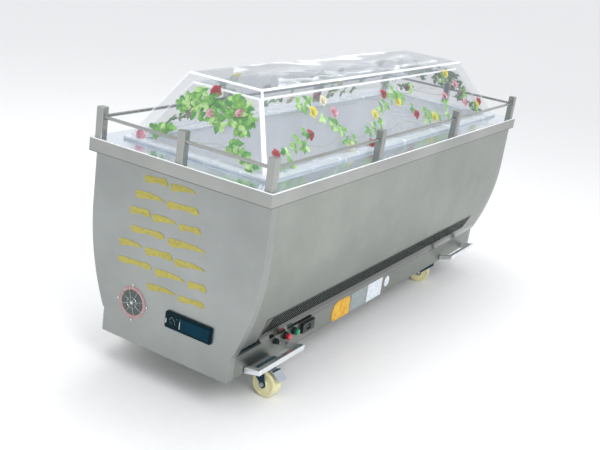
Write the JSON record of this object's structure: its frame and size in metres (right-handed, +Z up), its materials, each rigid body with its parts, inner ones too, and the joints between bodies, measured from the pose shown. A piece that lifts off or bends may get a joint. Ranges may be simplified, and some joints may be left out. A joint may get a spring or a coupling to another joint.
{
  "type": "refrigerated crystal coffin",
  "caption": "Steel cold cabinet on swivel casters with a deep chamber, a guard rail round its rim and a clear hipped double-skinned cover that lifts off.",
  "frame": {"origin": "on the ground, under the middle of the cabinet's length and width", "axes": "+Z up; +Y along the cabinet from the end with the control panel (front, -Y) to the plain end (rear, +Y); +X towards the side with the switches"},
  "size_m": [0.76, 2.24, 1.091],
  "materials": {
    "cabinet_steel": "satin, finely brushed",
    "rim_steel": "polished satin",
    "tub_steel": "satin",
    "rail_steel": "polished satin",
    "clear_acrylic": "clear, polished",
    "grille_dark": "dark, glossy",
    "speaker_pink": "satin",
    "speaker_dark": "satin",
    "panel_black": "gloss",
    "display_smoked": "gloss",
    "fitting_black": "satin",
    "lamp_red": "gloss",
    "lamp_green": "gloss",
    "caster_steel": "zinc plated",
    "fork_dark": "satin",
    "wheel_nylon": "satin"
  },
  "bodies": {
    "cabinet": {"base_plinth": "cabinet_steel", "end_cap_front": "cabinet_steel", "end_cap_rear": "cabinet_steel", "side_panel_left": "cabinet_steel", "side_panel_right": "cabinet_steel", "vent_grille_left": "grille_dark", "vent_grille_right": "grille_dark", "top_rim": "rim_steel", "inner_tub": "tub_steel", "cover_ring": "clear_acrylic", "cover_outer_skin": "clear_acrylic", "cover_inner_skin": "clear_acrylic", "speaker_ring": "speaker_pink", "speaker_mesh": "speaker_dark", "control_panel": "panel_black", "control_display": "display_smoked", "fuse_holder": "fitting_black", "mains_inlet": "fitting_black", "red_lamp_collar": "fitting_black", "green_lamp_collar": "fitting_black", "red_lamp": "lamp_red", "green_lamp": "lamp_green", "outrigger_front_right": "cabinet_steel", "caster_plate_front_right": "caster_steel", "outrigger_rear_right": "cabinet_steel", "caster_plate_rear_right": "caster_steel", "post_front_right": "rail_steel", "post_fore_right": "rail_steel", "post_aft_right": "rail_steel", "post_rear_right": "rail_steel", "rail_right": "rail_steel", "outrigger_front_left": "cabinet_steel", "caster_plate_front_left": "caster_steel", "outrigger_rear_left": "cabinet_steel", "caster_plate_rear_left": "caster_steel", "post_front_left": "rail_steel", "post_fore_left": "rail_steel", "post_aft_left": "rail_steel", "post_rear_left": "rail_steel", "rail_left": "rail_steel", "post_front_middle": "rail_steel", "rail_front": "rail_steel", "post_rear_middle": "rail_steel", "rail_rear": "rail_steel"},
    "fork_front_right": {"caster_fork_front_right": "fork_dark", "caster_axle_front_right": "caster_steel"},
    "wheel_front_right": {"caster_wheel_front_right": "wheel_nylon"},
    "pedal_front_right": {"brake_pedal_front_right": "caster_steel"},
    "fork_rear_right": {"caster_fork_rear_right": "fork_dark", "caster_axle_rear_right": "caster_steel"},
    "wheel_rear_right": {"caster_wheel_rear_right": "wheel_nylon"},
    "fork_front_left": {"caster_fork_front_left": "fork_dark", "caster_axle_front_left": "caster_steel"},
    "wheel_front_left": {"caster_wheel_front_left": "wheel_nylon"},
    "pedal_front_left": {"brake_pedal_front_left": "caster_steel"},
    "fork_rear_left": {"caster_fork_rear_left": "fork_dark", "caster_axle_rear_left": "caster_steel"},
    "wheel_rear_left": {"caster_wheel_rear_left": "wheel_nylon"}
  },
  "joints": [
    {"name": "swivel_front_right", "type": "hinge", "parent": "cabinet", "child": "fork_front_right", "pos_m": [0.262, -0.846, 0.117], "axis": [0, 0, 1], "continuous": true},
    {"name": "roll_front_right", "type": "hinge", "parent": "fork_front_right", "child": "wheel_front_right", "pos_m": [0.29691, -0.84844, 0.05], "axis": [0.0698, 0.9976, 0], "continuous": true},
    {"name": "brake_front_right", "type": "hinge", "parent": "fork_front_right", "child": "pedal_front_right", "pos_m": [0.28195, -0.8474, 0.109], "axis": [0.0698, 0.9976, 0], "range_deg": [0, 10]},
    {"name": "swivel_rear_right", "type": "hinge", "parent": "cabinet", "child": "fork_rear_right", "pos_m": [0.228, 0.7, 0.117], "axis": [0, 0, 1], "continuous": true},
    {"name": "roll_rear_right", "type": "hinge", "parent": "fork_rear_right", "child": "wheel_rear_right", "pos_m": [0.19532, 0.68746, 0.05], "axis": [0.3584, -0.9336, 0], "continuous": true},
    {"name": "swivel_front_left", "type": "hinge", "parent": "cabinet", "child": "fork_front_left", "pos_m": [-0.262, -0.846, 0.117], "axis": [0, 0, 1], "continuous": true},
    {"name": "roll_front_left", "type": "hinge", "parent": "fork_front_left", "child": "wheel_front_left", "pos_m": [-0.29691, -0.84844, 0.05], "axis": [0.0698, -0.9976, 0], "continuous": true},
    {"name": "brake_front_left", "type": "hinge", "parent": "fork_front_left", "child": "pedal_front_left", "pos_m": [-0.28195, -0.8474, 0.109], "axis": [0.0698, -0.9976, 0], "range_deg": [0, 10]},
    {"name": "swivel_rear_left", "type": "hinge", "parent": "cabinet", "child": "fork_rear_left", "pos_m": [-0.228, 0.7, 0.117], "axis": [0, 0, 1], "continuous": true},
    {"name": "roll_rear_left", "type": "hinge", "parent": "fork_rear_left", "child": "wheel_rear_left", "pos_m": [-0.19532, 0.68746, 0.05], "axis": [0.3584, 0.9336, 0], "continuous": true}
  ]
}
